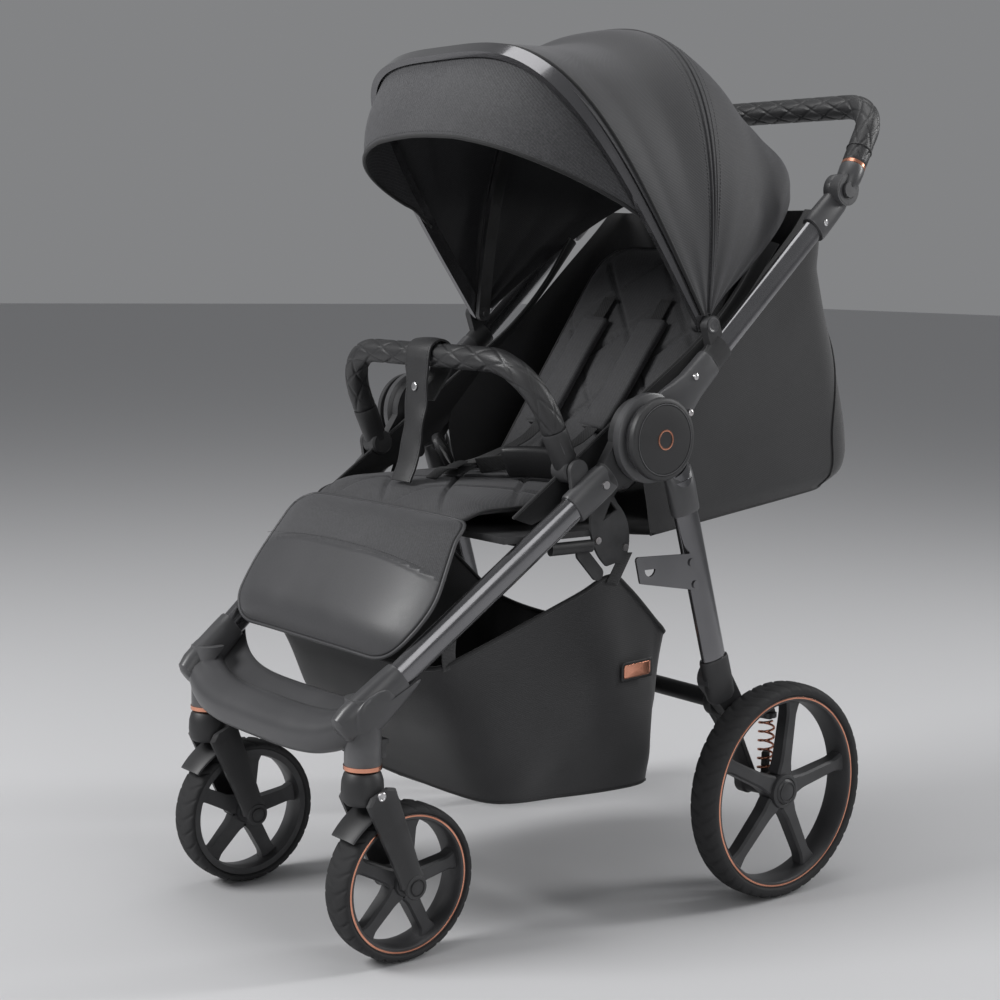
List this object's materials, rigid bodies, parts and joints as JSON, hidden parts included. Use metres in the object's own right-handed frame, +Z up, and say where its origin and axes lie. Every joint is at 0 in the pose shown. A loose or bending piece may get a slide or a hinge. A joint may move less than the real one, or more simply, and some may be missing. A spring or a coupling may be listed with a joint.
{
  "type": "baby stroller",
  "caption": "Folding baby stroller with a hooded reclining seat, grab bar, tilting handle, under-seat basket, swivelling front casters and sprung rear wheels.",
  "frame": {"origin": "on the floor, under the middle of the whole stroller", "axes": "+X is the child's left, -Y is the front, +Z is up"},
  "size_m": [0.614, 0.8525, 1.1418],
  "materials": {
    "gloss_gunmetal": "dark high gloss",
    "black_plastic": "fine satin grain",
    "black_paint": "satin powder coat",
    "wheel_plastic": "satin",
    "foam_tyre": "matte foam rubber",
    "rose_gold": "polished rose tone",
    "bright_steel": "plain",
    "leatherette": "fine grain, quilted",
    "hood_fabric": "close twill",
    "seat_fabric": "quilted melange",
    "basket_fabric": "plain weave"
  },
  "bodies": {
    "front_frame": {"lower_tube_left": "gloss_gunmetal", "lower_tube_right": "gloss_gunmetal", "foot_plate": "black_plastic", "caster_stems": "black_plastic", "caster_rings": "rose_gold", "joint_housings": "black_plastic", "joint_covers": "black_plastic", "fold_plates": "black_plastic", "frame_rivets": "bright_steel", "seat_board": "black_plastic", "seat_cushion": "seat_fabric", "basket": "basket_fabric", "crotch_strap": "seat_fabric", "bar_sockets": "black_plastic"},
    "upper_frame": {"upper_tube_left": "gloss_gunmetal", "upper_tube_right": "gloss_gunmetal", "joint_sleeves": "black_plastic", "hood_clamps": "black_plastic", "adjuster_housings": "black_plastic", "seat_shell": "seat_fabric", "hood_rear_panel": "hood_fabric"},
    "handlebar": {"handle_tube": "black_paint", "handle_grip": "leatherette", "handle_rings": "rose_gold"},
    "rear_frame": {"rear_leg_left": "gloss_gunmetal", "rear_leg_right": "gloss_gunmetal", "rear_crossbar": "black_paint", "leg_brackets": "black_plastic"},
    "brake": {"brake_pedal": "black_plastic"},
    "hood_middle": {"hood_bow_middle": "black_plastic", "hood_front_panel": "hood_fabric"},
    "hood_front": {"hood_bow_front": "gloss_gunmetal"},
    "visor": {"hood_visor": "hood_fabric"},
    "seat_back": {"backrest": "seat_fabric"},
    "footrest": {"leg_rest": "leatherette"},
    "bumper_bar": {"grab_bar": "leatherette"},
    "handle_press_left": {"handle_button_left": "black_plastic"},
    "bar_press_left": {"grab_button_left": "black_plastic"},
    "rear_arm_left": {"swing_arm_left": "black_paint", "coil_spring_left": "rose_gold"},
    "rear_wheel_left": {"rear_tyre_left": "foam_tyre", "rear_rim_left": "wheel_plastic", "rear_trim_left": "rose_gold"},
    "caster_left": {"caster_fork_left": "black_plastic"},
    "caster_lock_left": {"swivel_lock_left": "black_plastic"},
    "front_wheel_left": {"front_tyre_left": "foam_tyre", "front_rim_left": "wheel_plastic", "front_trim_left": "rose_gold"},
    "handle_press_right": {"handle_button_right": "black_plastic"},
    "bar_press_right": {"grab_button_right": "black_plastic"},
    "rear_arm_right": {"swing_arm_right": "black_paint", "coil_spring_right": "rose_gold"},
    "rear_wheel_right": {"rear_tyre_right": "foam_tyre", "rear_rim_right": "wheel_plastic", "rear_trim_right": "rose_gold"},
    "caster_right": {"caster_fork_right": "black_plastic"},
    "caster_lock_right": {"swivel_lock_right": "black_plastic"},
    "front_wheel_right": {"front_tyre_right": "foam_tyre", "front_rim_right": "wheel_plastic", "front_trim_right": "rose_gold"}
  },
  "joints": [
    {"name": "frame_fold", "type": "hinge", "parent": "front_frame", "child": "upper_frame", "pos_m": [0, -0.00325, 0.618], "axis": [1, 0, 0], "range_deg": [0, 130], "deforming": ["basket", "seat_shell", "crotch_strap", "hood_rear_panel"]},
    {"name": "rear_leg_fold", "type": "hinge", "parent": "front_frame", "child": "rear_frame", "pos_m": [0, -0.00325, 0.618], "axis": [1, 0, 0], "range_deg": [-41, 0]},
    {"name": "bar_fold", "type": "hinge", "parent": "front_frame", "child": "bumper_bar", "pos_m": [0, -0.10125, 0.58], "axis": [1, 0, 0], "range_deg": [0, 57]},
    {"name": "hood_fold", "type": "hinge", "parent": "upper_frame", "child": "hood_middle", "pos_m": [0, 0.09775, 0.757], "axis": [1, 0, 0], "range_deg": [-32, 0], "deforming": ["hood_front_panel"]},
    {"name": "hood_front_fold", "type": "hinge", "parent": "hood_middle", "child": "hood_front", "pos_m": [0, 0.09775, 0.757], "axis": [1, 0, 0], "range_deg": [-32, 0]},
    {"name": "visor_flip", "type": "hinge", "parent": "hood_front", "child": "visor", "pos_m": [0, -0.15637, 1.08025], "axis": [1, 0, 0], "range_deg": [-100, 0], "deforming": ["hood_visor"]},
    {"name": "seat_recline", "type": "hinge", "parent": "upper_frame", "child": "seat_back", "pos_m": [0, 0.05926, 0.53972], "axis": [1, 0, 0], "range_deg": [-15, 0]},
    {"name": "leg_rest_tilt", "type": "hinge", "parent": "front_frame", "child": "footrest", "pos_m": [0, -0.24725, 0.518], "axis": [1, 0, 0], "range_deg": [-50, 0]},
    {"name": "handle_tilt", "type": "hinge", "parent": "upper_frame", "child": "handlebar", "pos_m": [0, 0.32775, 0.935], "axis": [1, 0, 0], "range_deg": [-50, 15]},
    {"name": "brake_press", "type": "hinge", "parent": "rear_frame", "child": "brake", "pos_m": [0, 0.14775, 0.262], "axis": [1, 0, 0], "range_deg": [-15, 0]},
    {"name": "handle_button_push_left", "type": "slide", "parent": "handlebar", "child": "handle_press_left", "axis": [-1, 0, 0], "range_m": [0, 0.003], "stiffness_N_per_m": 300, "springref_m": -0.002},
    {"name": "bar_button_push_left", "type": "slide", "parent": "bumper_bar", "child": "bar_press_left", "axis": [-1, 0, 0], "range_m": [0, 0.002], "stiffness_N_per_m": 300, "springref_m": -0.002},
    {"name": "suspension_left", "type": "hinge", "parent": "rear_frame", "child": "rear_arm_left", "pos_m": [0, 0.14775, 0.262], "axis": [1, 0, 0], "range_deg": [0, 6], "stiffness_Nm_per_rad": 60, "springref_deg": -6.88, "deforming": ["coil_spring_left"]},
    {"name": "rear_wheel_spin_left", "type": "hinge", "parent": "rear_arm_left", "child": "rear_wheel_left", "pos_m": [0.285, 0.20875, 0.144], "axis": [1, 0, 0], "continuous": true},
    {"name": "caster_swivel_left", "type": "hinge", "parent": "front_frame", "child": "caster_left", "pos_m": [0.18, -0.38525, 0.26], "axis": [0, 0, 1], "continuous": true},
    {"name": "front_wheel_spin_left", "type": "hinge", "parent": "caster_left", "child": "front_wheel_left", "pos_m": [0.18, -0.33025, 0.096], "axis": [1, 0, 0], "continuous": true},
    {"name": "swivel_lock_slide_left", "type": "slide", "parent": "front_frame", "child": "caster_lock_left", "axis": [0, 0, 1], "range_m": [-0.006, 0]},
    {"name": "handle_button_push_right", "type": "slide", "parent": "handlebar", "child": "handle_press_right", "axis": [1, 0, 0], "range_m": [0, 0.003], "stiffness_N_per_m": 300, "springref_m": -0.002},
    {"name": "bar_button_push_right", "type": "slide", "parent": "bumper_bar", "child": "bar_press_right", "axis": [1, 0, 0], "range_m": [0, 0.002], "stiffness_N_per_m": 300, "springref_m": -0.002},
    {"name": "suspension_right", "type": "hinge", "parent": "rear_frame", "child": "rear_arm_right", "pos_m": [0, 0.14775, 0.262], "axis": [1, 0, 0], "range_deg": [0, 6], "stiffness_Nm_per_rad": 60, "springref_deg": -6.88, "deforming": ["coil_spring_right"]},
    {"name": "rear_wheel_spin_right", "type": "hinge", "parent": "rear_arm_right", "child": "rear_wheel_right", "pos_m": [-0.285, 0.20875, 0.144], "axis": [1, 0, 0], "continuous": true},
    {"name": "caster_swivel_right", "type": "hinge", "parent": "front_frame", "child": "caster_right", "pos_m": [-0.18, -0.38525, 0.26], "axis": [0, 0, 1], "continuous": true},
    {"name": "front_wheel_spin_right", "type": "hinge", "parent": "caster_right", "child": "front_wheel_right", "pos_m": [-0.18, -0.33025, 0.096], "axis": [1, 0, 0], "continuous": true},
    {"name": "swivel_lock_slide_right", "type": "slide", "parent": "front_frame", "child": "caster_lock_right", "axis": [0, 0, 1], "range_m": [-0.006, 0]}
  ],
  "couplings": [
    {"joint": "rear_leg_fold", "follows": "frame_fold", "ratio": -0.31535},
    {"joint": "bar_fold", "follows": "frame_fold", "ratio": 0.43842},
    {"joint": "hood_fold", "follows": "frame_fold", "ratio": -0.24613},
    {"joint": "hood_front_fold", "follows": "frame_fold", "ratio": -0.24613}
  ]
}
